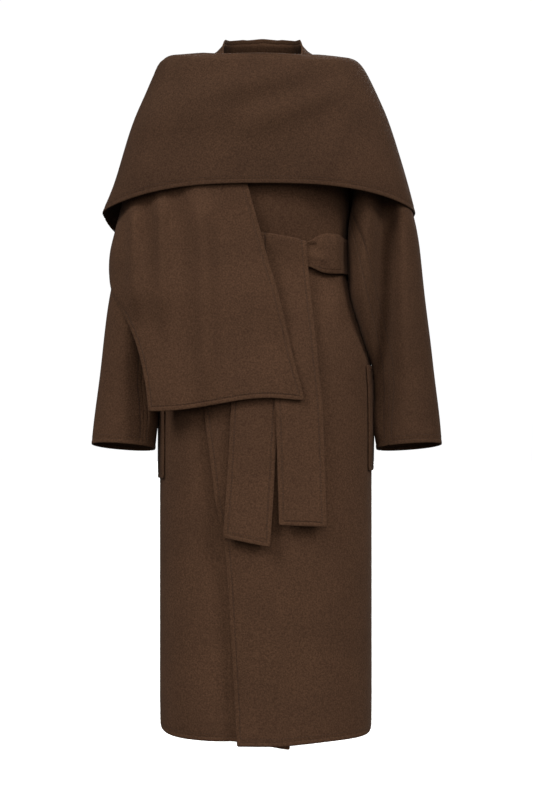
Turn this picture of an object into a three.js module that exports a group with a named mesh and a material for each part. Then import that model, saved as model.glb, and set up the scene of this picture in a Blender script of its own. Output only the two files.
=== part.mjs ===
// A long belted wrap coat in thick double-faced wool, with a wide cape drawn across the chest and round the
// shoulders, and one end of the cape's scarf hanging at the front. It is filled out as if worn, and hollow.
// Millimetres. +Z is up, the front faces -Y, and +X is the wearer's left.
// The origin is the middle of the neck at shoulder height, where the wearer carries the coat.
// Every piece is a wall of cloth: an outer face from sections, and an inner face one cloth below it.
import * as THREE from "three";

// ---------------------------------------------------------------- driving dimensions
const CLOTH = 3; // double-faced wool, turned edges included
const SEAM_GAP = 0.35; // between two pieces that are sewn edge to edge
const LAYER_GAP = 0.9; // between two layers that lie on each other
const UNDERARM_Z = -226;
const HEM_Z = -1187; // at the side seams
const LEAN = 6; // the skirt hangs this far to the wearer's left of the neck
const BELT_WIDTH = 80;
const BELT_Z = { front: -352, back: -361 };
const SHOULDER = { x: 166, z: -11 }; // top of the armhole
const NECK = { x: 88, z: 10.5, back: 80, backZ: 16, front: 82, frontZ: -30 }; // the neck seam
const NECK_SHARE = 0.5; // share of the half width of a panel that ends at the neck
const SHOULDER_PLAY = 3; // half the space at the shoulder seams, outside
const ARMHOLE = { depth: 58, scoop: 10 }; // half its depth front to back, and how far it is cut in

// Sections of the coat below the armholes, from its own middle.
const BODY = [
  { z: -1215, halfWidth: 190, front: 150, back: 136, square: 2.6 },
  { z: -1100, halfWidth: 190, front: 150, back: 136, square: 2.6 },
  { z: -850, halfWidth: 190, front: 147, back: 133, square: 2.6 },
  { z: -700, halfWidth: 190, front: 145, back: 130, square: 2.55 },
  { z: -600, halfWidth: 190, front: 141, back: 126, square: 2.5 },
  { z: -560, halfWidth: 188.5, front: 138, back: 122, square: 2.45 },
  { z: -525, halfWidth: 185, front: 134, back: 118, square: 2.4 },
  { z: -480, halfWidth: 175, front: 125, back: 109, square: 2.3 },
  { z: -430, halfWidth: 161, front: 113, back: 96, square: 2.25 },
  { z: -388, halfWidth: 150, front: 103, back: 84, square: 2.2 },
  { z: -353, halfWidth: 147, front: 99, back: 79, square: 2.2 },
  { z: -320, halfWidth: 148, front: 102, back: 82, square: 2.2 },
  { z: -280, halfWidth: 152, front: 109, back: 90, square: 2.2 },
  { z: -226, halfWidth: 155, front: 112, back: 97, square: 2.2 },
];

// Where the free front edges run, from the coat's own middle.
const FRONT_EDGE = [
  { z: -1205, over: -48, under: 40 },
  { z: -1055, over: -57, under: 46 },
  { z: -950, over: -63, under: 50 },
  { z: -847, over: -70, under: 54 },
  { z: -716, over: -84, under: 60 },
  { z: -633, over: -96, under: 64 },
  { z: -500, over: -110, under: 66 },
  { z: -353, over: -112, under: 62 },
  { z: -226, over: -118, under: 56 },
];

// The left sleeve, from the armhole to the cuff. Each section is an oval between an outer and an inner
// point. turn is how much further forward the inner side lies, front the angle of the front seam from the
// outer point, valley the depth of the long fold down the front, and slack how much nearer the right
// sleeve's outer point is, because the scarf's end presses it in.
const SLEEVE = [
  { run: 0, outerX: 166, outerZ: -10, innerX: 155.6, innerZ: -226, y: 0, turn: 0, depth: 57,
    front: 160, valley: 0, slack: 0 },
  { run: 0.06, outerX: 182, outerZ: -24, innerX: 159, innerZ: -238, y: -2, turn: 2, depth: 59,
    front: 160, valley: 0, slack: 1 },
  { run: 0.12, outerX: 196, outerZ: -52, innerX: 159.5, innerZ: -252, y: -4, turn: 5, depth: 61,
    front: 160, valley: 2, slack: 3 },
  { run: 0.2, outerX: 214, outerZ: -95, innerX: 157, innerZ: -272, y: -8, turn: 9, depth: 63,
    front: 158, valley: 6, slack: 8 },
  { run: 0.28, outerX: 231, outerZ: -145, innerX: 154, innerZ: -296, y: -12, turn: 14, depth: 64,
    front: 152, valley: 11, slack: 14 },
  { run: 0.37, outerX: 247, outerZ: -205, innerX: 152, innerZ: -326, y: -16, turn: 18, depth: 64,
    front: 135, valley: 15, slack: 21 },
  { run: 0.46, outerX: 263, outerZ: -262, innerX: 151.5, innerZ: -360, y: -19, turn: 20, depth: 64,
    front: 125, valley: 16, slack: 21 },
  { run: 0.54, outerX: 275, outerZ: -318, innerX: 152, innerZ: -395, y: -21, turn: 23, depth: 63,
    front: 119, valley: 16, slack: 19 },
  { run: 0.62, outerX: 281, outerZ: -380, innerX: 155.5, innerZ: -430, y: -24, turn: 24, depth: 62,
    front: 115, valley: 14, slack: 12 },
  { run: 0.7, outerX: 286.5, outerZ: -440, innerX: 170.8, innerZ: -477, y: -28, turn: 22, depth: 60,
    front: 115, valley: 12, slack: 6 },
  { run: 0.78, outerX: 294, outerZ: -505, innerX: 184, innerZ: -520, y: -31, turn: 17, depth: 58,
    front: 117, valley: 9, slack: 5 },
  { run: 0.86, outerX: 300.5, outerZ: -565, innerX: 195.8, innerZ: -570, y: -32, turn: 10, depth: 56,
    front: 121, valley: 7, slack: 4.5 },
  { run: 0.93, outerX: 308, outerZ: -626, innerX: 192.5, innerZ: -628, y: -36, turn: 8, depth: 54,
    front: 126, valley: 5, slack: 4 },
  { run: 1, outerX: 313.5, outerZ: -682, innerX: 195.5, innerZ: -690, y: -40, turn: 6, depth: 52,
    front: 131, valley: 3, slack: 3 },
];
const BACK_SEAM = 146; // angle of the sleeve's back seam from the outer point, or the front one's if more
const VALLEY = { x: 213, width: 24 }; // the sleeve's long fold
const CUFF_TILT = { all: -4.5, back: -7.5 }; // the back of a cuff hangs lower than its front

// The cape over the shoulders, from its free neck edge to where it turns down.
const CAPE_TOP = [
  { turn: 0, halfWidth: 112, front: 96, back: 84, sideZ: 11.2, tilt: 2, frontZ: -1, backZ: 19 },
  { turn: 0.3, halfWidth: 134, front: 100, back: 90, sideZ: 9, tilt: 2.2, frontZ: -5, backZ: 15.5 },
  { turn: 0.6, halfWidth: 157, front: 103, back: 95, sideZ: 6.8, tilt: 2.7, frontZ: -10, backZ: 8 },
  { turn: 0.8, halfWidth: 174, front: 105, back: 99, sideZ: 2, tilt: 3.2, frontZ: -14, backZ: -2.5 },
  { turn: 1, halfWidth: 187, front: 107, back: 103, sideZ: -14, tilt: 2.5, frontZ: -20, backZ: -18 },
];
// Level sections of the hanging cape.
const CAPE = [
  { z: -350, halfWidth: 292, front: 134, back: 134, square: 2.6 },
  { z: -280, halfWidth: 279, front: 135, back: 131, square: 2.6 },
  { z: -252, halfWidth: 272, front: 134, back: 129, square: 2.6 },
  { z: -216, halfWidth: 262, front: 132.5, back: 127, square: 2.6 },
  { z: -180, halfWidth: 251.5, front: 129, back: 124, square: 2.5 },
  { z: -144, halfWidth: 241, front: 126, back: 121, square: 2.4 },
  { z: -108, halfWidth: 229, front: 122, back: 117, square: 2.3 },
  { z: -72, halfWidth: 214, front: 117, back: 112, square: 2.2 },
  { z: -36, halfWidth: 197, front: 110.5, back: 106, square: 2.15 },
  { z: -14, halfWidth: 187, front: 106.5, back: 102.5, square: 2.1 },
  { z: 0, halfWidth: 180, front: 104, back: 100, square: 2.1 },
];
const CAPE_HEM = { frontZ: -233, sideZ: -274, backZ: -345 };
const CAPE_SHIFT = -2.5; // it lies a little towards the wearer's right
const CAPE_FLARE = 8; // how far its hem stands off the right arm
const CAPE_SEAM = 102; // degrees from the front to the seams behind the arms

// The scarf's hanging end: level sections, its inner edge, and how far round its outer edge lies.
const SCARF = [
  { z: -640, halfWidth: 292, front: 165, square: 2.4, inner: 76, outer: -41 },
  { z: -600, halfWidth: 290, front: 162.5, square: 2.4, inner: 70.5, outer: -42 },
  { z: -560, halfWidth: 289, front: 158.5, square: 2.45, inner: 59, outer: -43.5 },
  { z: -510, halfWidth: 288, front: 151.5, square: 2.5, inner: 47.4, outer: -46.7 },
  { z: -460, halfWidth: 286, front: 147.6, square: 2.55, inner: 36, outer: -53.4 },
  { z: -425, halfWidth: 283.5, front: 144.5, square: 2.8, inner: 27.6, outer: -63 },
  { z: -390, halfWidth: 280.5, front: 139, square: 2.8, inner: 16.7, outer: -76 },
  { z: -350, halfWidth: 278, front: 133.5, square: 2.7, inner: 5.1, outer: -90 },
  { z: -306, halfWidth: 268, front: 129.5, square: 2.6, inner: -6.5, outer: -98 },
  { z: -250, halfWidth: 253, front: 127.5, square: 2.55, inner: -22, outer: -100 },
  { z: -200, halfWidth: 245, front: 126, square: 2.5, inner: -35, outer: -96 },
  { z: -144, halfWidth: 233, front: 122, square: 2.35, inner: -48, outer: -88 },
  { z: -72, halfWidth: 209, front: 113, square: 2.15, inner: -60, outer: -80 },
  { z: -30, halfWidth: 188, front: 105, square: 2.1, inner: -66, outer: -76 },
];
const SCARF_END_Z = { outer: -627, low: -604, inner: -608 };
const SCARF_TOP_Z = -70;
// Soft upright folds where the scarf's end comes out from under the cape.
const SCARF_FOLDS = [
  { x: -204, width: 15, depth: 5, fromZ: -180, toZ: -400 },
  { x: -154, width: 14, depth: 4, fromZ: -180, toZ: -380 },
  { x: -232, width: 12, depth: -2.5, fromZ: -180, toZ: -360 },
  { x: -116, width: 20, depth: -2.5, fromZ: -180, toZ: -420 },
];

// The belt's two hanging ends: middle and how far they stand off the skirt, from the bottom up.
const BELT_OVER = [
  { z: -826, x: 69, off: 16 },
  { z: -720, x: 66, off: 11.5 },
  { z: -606, x: 62, off: 8.9 },
  { z: -540, x: 55, off: 8.5 },
  { z: -486, x: 50.5, off: 8.8 },
  { z: -418, x: 43.5, off: 10 },
  { z: -380, x: 40, off: 10.4 },
  { z: -330, x: 36, off: 12 },
];
const BELT_UNDER = [
  { z: -851, x: -27, off: 14 },
  { z: -711, x: -18, off: 7 },
  { z: -612, x: -13, off: 4.9 },
  { z: -500, x: 2, off: 4.5 },
  { z: -430, x: 16, off: 4.7 },
  { z: -393, x: 24, off: 5.2 },
];
// The knot draws the belt together and lifts it, and the belt comes out of it as a full loop.
const KNOT = { angle: 24, before: 22, after: 9, pinch: 11, lift: 4.7 };
const LOOP = { from: 30, to: 48, fade: 16, half: 37, puff: 5 };
const POCKET = {
  fromAngle: 62,
  toAngle: 97,
  left: { low: -732, high: -548 },
  right: { low: -746, high: -565 },
};

const WOOL = 0x49342a;

// ---------------------------------------------------------------- small helpers
const lerp = (a, b, t) => a + (b - a) * t;
const clamp = (t, low = 0, high = 1) => Math.min(high, Math.max(low, t));
const smooth = (t) => clamp(t) ** 2 * (3 - 2 * clamp(t));
const radians = THREE.MathUtils.degToRad;
const degrees = THREE.MathUtils.radToDeg;
const hump = (t) => Math.exp(-t * t);
const range = (count) => Array.from({ length: count + 1 }, (_, i) => i / count);

// A smooth function through one column of a table, against another column. It overshoots no row.
function curve(table, by, name) {
  const rows = [...table].sort((p, q) => p[by] - q[by]);
  const at = rows.map((row) => row[by]);
  const value = rows.map((row) => row[name]);
  const rise = at.slice(1).map((x, i) => (value[i + 1] - value[i]) / (x - at[i]));
  const slope = value.map((_, i) => {
    const before = rise[i - 1] ?? rise[i];
    const after = rise[i] ?? rise[i - 1];
    return before * after <= 0 ? 0 : (2 * before * after) / (before + after);
  });
  return (x) => {
    const last = at.length - 2;
    const i = clamp(at.findIndex((a) => a > x) - 1, 0, last);
    const k = x >= at[last] ? last : i;
    const step = at[k + 1] - at[k];
    const t = clamp((x - at[k]) / step);
    const bend = t * t * (3 - 2 * t);
    return (
      lerp(value[k], value[k + 1], bend) +
      step * (slope[k] * t * (1 - t) ** 2 - slope[k + 1] * t * t * (1 - t))
    );
  };
}
const curves = (table, by) =>
  Object.fromEntries(
    Object.keys(table[0])
      .filter((name) => name !== by)
      .map((name) => [name, curve(table, by, name)]),
  );

const lean = (z) => LEAN * smooth(z / -600);
const levelAt = (height) => lerp(HEM_Z, UNDERARM_Z, height);

// A point of a rounded oval, at an angle from the front towards +X.
function oval(angle, halfWidth, front, back, square) {
  const side = Math.sin(radians(angle));
  const ahead = Math.cos(radians(angle));
  const size = (Math.abs(side) ** square + Math.abs(ahead) ** square) ** (-1 / square);
  return { x: halfWidth * side * size, y: -(ahead >= 0 ? front : back) * ahead * size };
}
// The angle at which the front of such an oval is at a share of its half width.
const angleAt = (share, square) =>
  degrees(Math.atan2(share, (1 - Math.min(1, Math.abs(share)) ** square) ** (1 / square)));

// The unit normal of a surface, turned the way given by facing.
function normalAt(surface, u, v, facing) {
  const step = 1e-4;
  const along = surface(u + step, v).sub(surface(u - step, v));
  const up = surface(u, v + step).sub(surface(u, v - step));
  return along.cross(up).normalize().multiplyScalar(facing);
}
const movedOut = (surface, distance, facing = 1) => (u, v) =>
  surface(u, v).addScaledVector(
    normalAt(surface, u, v, facing),
    typeof distance === "function" ? distance(u, v) : distance,
  );

// A closed wall of cloth. surface(u, v) is its outer face, and facing is 1 where u runs to the right and v
// up for someone looking at that face. A ring of cloth joins its last column to its first.
function clothWall(name, surface, us, vs, { facing = 1, ring = false, cloth = CLOTH } = {}) {
  const points = [];
  const columns = ring ? us.length - 1 : us.length;
  for (const v of vs)
    for (const u of us.slice(0, columns)) {
      const outer = surface(u, v);
      const inner = outer.clone().addScaledVector(normalAt(surface, u, v, facing), -cloth);
      points.push(outer, inner);
    }
  const OUTER = 0;
  const INNER = 1;
  const index = (row, column, side) => 2 * (row * columns + (column % columns)) + side;
  const triangles = [];
  const quad = (a, b, c, d) => triangles.push(a, b, c, a, c, d);
  const lastRow = vs.length - 1;
  const lastColumn = us.length - 1;
  for (let row = 0; row < lastRow; row += 1)
    for (let column = 0; column < lastColumn; column += 1) {
      const here = [index(row, column, OUTER), index(row, column + 1, OUTER)];
      const above = [index(row + 1, column, OUTER), index(row + 1, column + 1, OUTER)];
      quad(here[0], here[1], above[1], above[0]);
      quad(above[0] + INNER, above[1] + INNER, here[1] + INNER, here[0] + INNER);
    }
  for (let column = 0; column < lastColumn; column += 1) {
    const low = [index(0, column, OUTER), index(0, column + 1, OUTER)];
    const high = [index(lastRow, column, OUTER), index(lastRow, column + 1, OUTER)];
    quad(low[0] + INNER, low[1] + INNER, low[1], low[0]);
    quad(high[1], high[1] + INNER, high[0] + INNER, high[0]);
  }
  if (!ring)
    for (let row = 0; row < lastRow; row += 1) {
      const first = [index(row, 0, OUTER), index(row + 1, 0, OUTER)];
      const last = [index(row, lastColumn, OUTER), index(row + 1, lastColumn, OUTER)];
      quad(first[1], first[1] + INNER, first[0] + INNER, first[0]);
      quad(last[0] + INNER, last[1] + INNER, last[1], last[0]);
    }
  if (facing < 0) triangles.reverse();
  const geometry = new THREE.BufferGeometry().setFromPoints(points).setIndex(triangles);
  geometry.computeVertexNormals();
  const wool = new THREE.MeshStandardMaterial({ color: WOOL, roughness: 0.95, metalness: 0 });
  const mesh = new THREE.Mesh(geometry, wool);
  mesh.name = name;
  return mesh;
}

// ---------------------------------------------------------------- the coat's body
const body = curves(BODY, "z");
const edge = curves(FRONT_EDGE, "z");

function ringPoint(angle, z) {
  const at = oval(angle, body.halfWidth(z), body.front(z), body.back(z), body.square(z));
  return new THREE.Vector3(at.x + lean(z), at.y, z);
}

// The top edge of a body panel: half a shoulder seam on each side of the neck. share runs from -1 to 1.
function topEdge(share, isBack) {
  const across = Math.abs(share);
  if (across >= NECK_SHARE) {
    const along = (across - NECK_SHARE) / (1 - NECK_SHARE);
    const x = lerp(NECK.x, SHOULDER.x, along) * Math.sign(share);
    return new THREE.Vector3(x, isBack ? SHOULDER_PLAY : -SHOULDER_PLAY, lerp(NECK.z, SHOULDER.z, along));
  }
  const angle = Math.asin(share / NECK_SHARE);
  const dip = Math.cos(angle);
  const y = isBack ? lerp(SHOULDER_PLAY, NECK.back, dip) : -lerp(SHOULDER_PLAY, NECK.front, dip);
  const z = lerp(NECK.z, isBack ? NECK.backZ : NECK.frontZ, dip * dip);
  return new THREE.Vector3(NECK.x * Math.sin(angle), y, z);
}

// The front or back edge of an armhole, less the straight line from the underarm to the shoulder.
function armholeCurve(rise, side, isBack) {
  const turn = Math.PI * rise;
  const bulge = Math.sin(turn);
  const straight = lerp(UNDERARM_Z, SHOULDER.z, rise);
  const round = (UNDERARM_Z + SHOULDER.z) / 2 + ((UNDERARM_Z - SHOULDER.z) / 2) * Math.cos(turn);
  const y = (isBack ? 1 : -1) * ARMHOLE.depth * bulge;
  return new THREE.Vector3(-side * ARMHOLE.scoop * bulge, y, round - straight);
}

const BODY_HEIGHTS = [
  0, 0.045, 0.12, 0.21, 0.3, 0.39, 0.47, 0.54, 0.6, 0.65, 0.7, 0.745, 0.785, 0.82, 0.85, 0.88, 0.91, 0.95,
  1, 1.2, 1.4, 1.6, 1.8, 2,
];

// The coat's body at an angle from the front. height is 0 at the hem, 1 at the underarm, 2 at the shoulder.
function coat(angle, height, hemZ) {
  const lowest = 1 - clamp(height / BODY_HEIGHTS[1]);
  if (height <= 1) return ringPoint(angle, levelAt(height) + (hemZ - HEM_Z) * lowest);
  const rise = height - 1;
  const isBack = Math.abs(angle) > 90 + 1e-9;
  const turned = isBack ? Math.sign(angle) * 180 - angle : angle;
  const share = turned / 90;
  const low = ringPoint(angle, UNDERARM_Z);
  const high = topEdge(share, isBack);
  const near = clamp(Math.abs(share)) ** 3;
  return low.lerp(high, rise).addScaledVector(armholeCurve(rise, Math.sign(share), isBack), near);
}

// How far the over front lies outside the under front: a whole layer over the overlap, nothing at the side.
const overlapLift = (angle) => (CLOTH + LAYER_GAP) * (1 - smooth((angle - 42) / 40));

const sideSeam = 90 - degrees(SEAM_GAP / 2 / 190);
const overHem = (angle) => HEM_Z - 8.6 * smooth((90 - angle) / 28) - 6.8 * smooth((38 - angle) / 34);
const underHem = (angle) => HEM_Z - 8.8 * smooth((90 + angle) / 40) - 13.5 * smooth((angle + 12) / 28);
const backHem = (angle) => HEM_Z - 4 * clamp(Math.abs(angle) / 90 - 1) ** 0.5;

// The angle of a free front edge. Above the underarms the two edges draw together up to the neck.
function freeEdge(which, height) {
  const z = levelAt(Math.min(height, 1));
  const low = angleAt(edge[which](z) / body.halfWidth(z), body.square(z));
  return lerp(low, which === "over" ? -22 : 22, clamp(height - 1));
}

// Over the overlap the two fronts share their columns, so that one lies evenly on the other.
const OVERLAP_COLUMNS = 9;
const FRONT_COLUMNS = { over: 7, under: 5 };

function frontAngle(which, column, height) {
  const over = freeEdge("over", height);
  const under = freeEdge("under", height);
  const single = FRONT_COLUMNS[which];
  if (which === "over") {
    if (column <= OVERLAP_COLUMNS) return lerp(over, under, column / OVERLAP_COLUMNS);
    return lerp(under, sideSeam, (column - OVERLAP_COLUMNS) / single);
  }
  if (column <= single) return lerp(-sideSeam, over, column / single);
  return lerp(over, under, (column - single) / OVERLAP_COLUMNS);
}

function frontWall(which, hem) {
  const columns = OVERLAP_COLUMNS + FRONT_COLUMNS[which];
  const angleOf = (u, v) => frontAngle(which, u * columns, v);
  const surface = (u, v) => coat(angleOf(u, v), v, hem(angleOf(u, v)));
  const lift = (u, v) => (which === "over" ? overlapLift(angleOf(u, v)) : 0);
  return clothWall(`front_${which}`, movedOut(surface, lift), range(columns), BODY_HEIGHTS);
}
const frontOver = frontWall("over", overHem);
const frontUnder = frontWall("under", underHem);

const back = clothWall(
  "back",
  (u, v) => {
    const angle = lerp(180 - sideSeam, 180 + sideSeam, u);
    return coat(angle > 180 ? angle - 360 : angle, v, backHem(180 - angle));
  },
  range(18),
  BODY_HEIGHTS,
);

// ---------------------------------------------------------------- collar
// The stand runs round the back of the neck and a little way down each front edge, where it dies away.
const COLLAR_REACH = 0.2; // share of its length that lies on each front edge
const COLLAR_PROFILE = [
  { up: 0, inward: 0, flare: 7, rise: 0 },
  { up: 0.33, inward: 0.42, flare: 1.5, rise: 0.23 },
  { up: 0.67, inward: 0.81, flare: 0, rise: 0.58 },
  { up: 1, inward: 1, flare: 0, rise: 1 },
];
const collarProfile = curves(COLLAR_PROFILE, "up");
function collarSurface(u, v) {
  const onBack = clamp((u - COLLAR_REACH) / (1 - 2 * COLLAR_REACH));
  const side = u < 0.5 ? 1 : -1;
  const forward = u < 0.5 ? COLLAR_REACH - u : u - 1 + COLLAR_REACH;
  const share = lerp(NECK_SHARE, -NECK_SHARE, onBack);
  const base = topEdge(share, true);
  let ahead = 0;
  if (forward > 0) {
    ahead = forward / COLLAR_REACH;
    const round = 32 * ahead;
    base.set(side * NECK.x * Math.cos(radians(round)), 3 - NECK.front * Math.sin(radians(round)), 0);
    base.z = lerp(NECK.z, NECK.frontZ, Math.sin(radians(round)) ** 2);
  }
  const angle = Math.asin(clamp(share / NECK_SHARE, -1, 1));
  const fade = 1 - smooth(ahead * 0.9);
  const aside = Math.abs(Math.sin(angle)); // 0 behind the neck, 1 beside it
  const flare = collarProfile.flare(v) * aside ** 2 * (1 - smooth(ahead * 2.5));
  const inward = lerp(17, 20, aside) * (0.25 + 0.75 * fade) * collarProfile.inward(v) - flare;
  const rise = (lerp(32, 24.5, aside) * fade + 4) * collarProfile.rise(v);
  base.x -= inward * Math.sin(angle);
  base.y -= inward * Math.cos(angle);
  base.z += 2.4 + rise;
  return base;
}
const collar = clothWall("collar", collarSurface, range(26), range(3));

// ---------------------------------------------------------------- sleeves
const sleeve = curves(SLEEVE, "run");
const SLEEVE_RUNS = SLEEVE.map((row) => row.run);

// A point of a sleeve. side is 1 on the wearer's left. The angle runs from the outer point round the front.
function sleevePoint(side, angle, run) {
  const slack = side < 0 ? sleeve.slack(run) : 0;
  const outer = { x: sleeve.outerX(run) - slack, z: sleeve.outerZ(run) };
  const inner = { x: sleeve.innerX(run), z: sleeve.innerZ(run) };
  const at = oval(90 - angle, 1, 1, 1, 2.15);
  const x = lerp(inner.x, outer.x, (at.x + 1) / 2);
  const z = lerp(inner.z, outer.z, (at.x + 1) / 2);
  const ahead = -at.y;
  const fold = ahead > 0 ? sleeve.valley(run) * ahead * hump((x - VALLEY.x) / VALLEY.width) : 0;
  const middle = sleeve.y(run) + 0.3 * slack * (1 + at.x) - sleeve.turn(run) * (0.5 - at.x / 2);
  const y = middle - sleeve.depth(run) * ahead + fold;
  const tilt = smooth((run - 0.6) / 0.4) * (CUFF_TILT.all - CUFF_TILT.back * ahead);
  const hung = z + tilt;
  return new THREE.Vector3(side * x + lean(hung), y, hung);
}
const seamTrim = degrees(SEAM_GAP / 2 / 45); // half a seam gap round the arm
const backSeam = (run) => Math.max(sleeve.front(run), BACK_SEAM);
const armholeShift = 2; // the sleeve's head starts this far outside the body panels

function sleeveWall(name, side, from, to, columns) {
  const surface = (u, v) => {
    const run = 1 - v;
    const point = sleevePoint(side, lerp(from(run), to(run), u), run);
    point.x += side * armholeShift * (1 - smooth(run / 0.2));
    return point;
  };
  const fromCuff = SLEEVE_RUNS.map((run) => 1 - run).reverse();
  return clothWall(name, surface, range(columns), fromCuff, { facing: -side });
}
const sleeveWalls = [
  ["left", 1],
  ["right", -1],
].flatMap(([name, side]) => [
  sleeveWall(
    `sleeve_${name}_upper`,
    side,
    (run) => -backSeam(run) + seamTrim,
    (run) => sleeve.front(run) - seamTrim,
    20,
  ),
  sleeveWall(
    `sleeve_${name}_under`,
    side,
    (run) => sleeve.front(run) + seamTrim,
    (run) => 360 - backSeam(run) - seamTrim,
    9,
  ),
]);

// ---------------------------------------------------------------- cape
const capeTop = curves(CAPE_TOP, "turn");
const cape = curves(CAPE, "z");
const CAPE_FOLD = 0.34; // share of the cape's rows that lie on the shoulders

// Between front, side and back heights, by how far round the oval a point is.
const swung = (x, isBack, heights, power = 3) =>
  isBack
    ? lerp(heights.backZ, heights.sideZ, Math.abs(x) ** 5)
    : lerp(heights.frontZ, heights.sideZ, Math.abs(x) ** power);

// The cape at an angle from the front. down runs from 0 at its neck edge to 1 at its hem.
function capePoint(angle, down) {
  const isBack = Math.abs(angle) > 90;
  const round = oval(angle, 1, 1, 1, 2.3).x;
  if (down <= CAPE_FOLD) {
    const turn = down / CAPE_FOLD;
    const at = oval(angle, capeTop.halfWidth(turn), capeTop.front(turn), capeTop.back(turn), 2.1);
    const heights = {
      frontZ: capeTop.frontZ(turn),
      sideZ: capeTop.sideZ(turn),
      backZ: capeTop.backZ(turn),
    };
    const tilt = capeTop.tilt(turn) * round * Math.abs(round);
    const z = swung(round, isBack, heights, lerp(4.5, 3, turn)) - tilt;
    return new THREE.Vector3(at.x + CAPE_SHIFT, at.y, z);
  }
  const tilt = 2.5 * round * Math.abs(round);
  const start = swung(round, isBack, { frontZ: -20, sideZ: -14, backZ: -18 }) - tilt;
  const z = lerp(start, swung(round, isBack, CAPE_HEM), (down - CAPE_FOLD) / (1 - CAPE_FOLD));
  const at = oval(angle, cape.halfWidth(z), cape.front(z), cape.back(z), cape.square(z));
  const flare = CAPE_FLARE * smooth((-round - 0.75) / 0.25) * smooth((-228 - z) / 45);
  return new THREE.Vector3(at.x + CAPE_SHIFT - flare, at.y, z);
}
const capeTrim = degrees(SEAM_GAP / 2 / 250);
const CAPE_ROWS = [0, 0.14, 0.29, 0.43, 0.54, 0.66, 0.746, 0.8, 0.864, 0.932, 1];
const capeWall = (name, from, to, columns) =>
  clothWall(
    name,
    (u, v) => {
      const angle = lerp(from, to, u);
      return capePoint(angle > 180 ? angle - 360 : angle, 1 - v);
    },
    range(columns),
    CAPE_ROWS,
  );
const capeFront = capeWall("cape_front", -CAPE_SEAM + capeTrim, CAPE_SEAM - capeTrim, 26);
const capeBack = capeWall("cape_back", CAPE_SEAM + capeTrim, 360 - CAPE_SEAM - capeTrim, 20);

// ---------------------------------------------------------------- the scarf's hanging end
const scarf = curves(SCARF, "z");

function scarfSurface(u, v) {
  const across = clamp(u, -0.01, 1.01);
  const low = across < 0.78
    ? lerp(SCARF_END_Z.outer, SCARF_END_Z.low, smooth(across / 0.78) ** 1.4)
    : lerp(SCARF_END_Z.low, SCARF_END_Z.inner, smooth((across - 0.78) / 0.22));
  const z = lerp(low, SCARF_TOP_Z, v);
  const square = scarf.square(z);
  const start = scarf.outer(z);
  const end = angleAt((scarf.inner(z) - lean(z)) / scarf.halfWidth(z), square);
  const at = oval(lerp(start, end, across), scarf.halfWidth(z), scarf.front(z), 118, square);
  const point = new THREE.Vector3(at.x + lean(z), at.y, z);
  const inwards = new THREE.Vector3(at.x / scarf.halfWidth(z) ** 2, at.y / scarf.front(z) ** 2, 0);
  inwards.normalize();
  for (const fold of SCARF_FOLDS) {
    const along = smooth((fold.fromZ - z) / 60) * smooth((z - fold.toZ) / 110);
    const inward = fold.depth * along * hump((at.x - fold.x) / fold.width);
    if (at.y < 0) point.addScaledVector(inwards, -inward);
  }
  return point;
}
const scarfEnd = clothWall(
  "scarf_end",
  scarfSurface,
  range(20),
  [0, 0.035, 0.09, 0.15, 0.22, 0.29, 0.355, 0.41, 0.46, 0.51, 0.56, 0.61, 0.66, 0.72, 0.79, 0.86, 0.93, 1],
);

// ---------------------------------------------------------------- belt
// How far the waist belt's outer face lies outside the coat's own sections.
function beltLift(angle) {
  const onOverlap = (CLOTH + LAYER_GAP) * smooth((angle + 64) / 8) * (1 - smooth((angle - 60) / 30));
  const knot = KNOT.lift * smooth((angle + 16) / 10) * (1 - smooth((angle - LOOP.to) / LOOP.fade));
  return 2 * LAYER_GAP + onOverlap + CLOTH + knot;
}
const onLoop = (angle) => smooth((angle - LOOP.from) / 8) * (1 - smooth((angle - LOOP.to) / LOOP.fade));
const BELT_ANGLES = [
  ...range(20).map((share) => lerp(-180, 0, share)),
  ...[8, 16, 20, 24, 28, 32, 36, 40, 44, 49, 54, 60, 66, 72, 80],
  ...range(10).map((share) => lerp(90, 180, share)),
];
function beltPoint(u, v) {
  const angle = lerp(-180, 180, u);
  const forward = smooth((Math.cos(radians(angle)) + 0.05) / 0.8);
  const ahead = smooth((Math.cos(radians(angle)) + 0.2) / 0.8);
  const drawn = hump((angle - KNOT.angle) / (angle > KNOT.angle ? KNOT.after : KNOT.before));
  const middle = lerp(BELT_Z.back, BELT_Z.front, forward) - 3 * drawn;
  const narrow = lerp(BELT_WIDTH / 2 - 2, 31, ahead);
  const full = lerp(narrow, Math.max(narrow, LOOP.half), onLoop(angle));
  const half = full - KNOT.pinch * drawn;
  return ringPoint(angle, middle + lerp(-half, half, v));
}
const beltWaist = clothWall(
  "belt_waist",
  movedOut(beltPoint, (u, v) => {
    const angle = lerp(-180, 180, u);
    return beltLift(angle) + LOOP.puff * onLoop(angle) * (1 - Math.abs(2 * v - 1) ** 2.5);
  }),
  BELT_ANGLES.map((angle) => (angle + 180) / 360),
  [0, 0.12, 0.3, 0.5, 0.7, 0.88, 1],
  { ring: true },
);

// The skirt's front, outside the over front, at a place across and up.
function skirtFront(x, z) {
  const across = Math.min(1, Math.abs(x - lean(z)) / body.halfWidth(z));
  return -body.front(z) * (1 - across ** body.square(z)) ** (1 / body.square(z)) - CLOTH - LAYER_GAP;
}

function beltEndSurface(table) {
  const path = curves(table, "z");
  return (u, z, drop) => {
    const x = path.x(z) + lerp(-BELT_WIDTH / 2, BELT_WIDTH / 2, u);
    return new THREE.Vector3(x, skirtFront(x, z - drop) - path.off(z) - CLOTH, z - drop);
  };
}
const overEnd = beltEndSurface(BELT_OVER);
const underEnd = beltEndSurface(BELT_UNDER);

const beltUnder = clothWall(
  "belt_end_under",
  (u, v) => underEnd(u, lerp(-851, -392, v), lerp(-8, 8, u) * (1 - v)),
  range(5),
  range(12),
);

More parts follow.
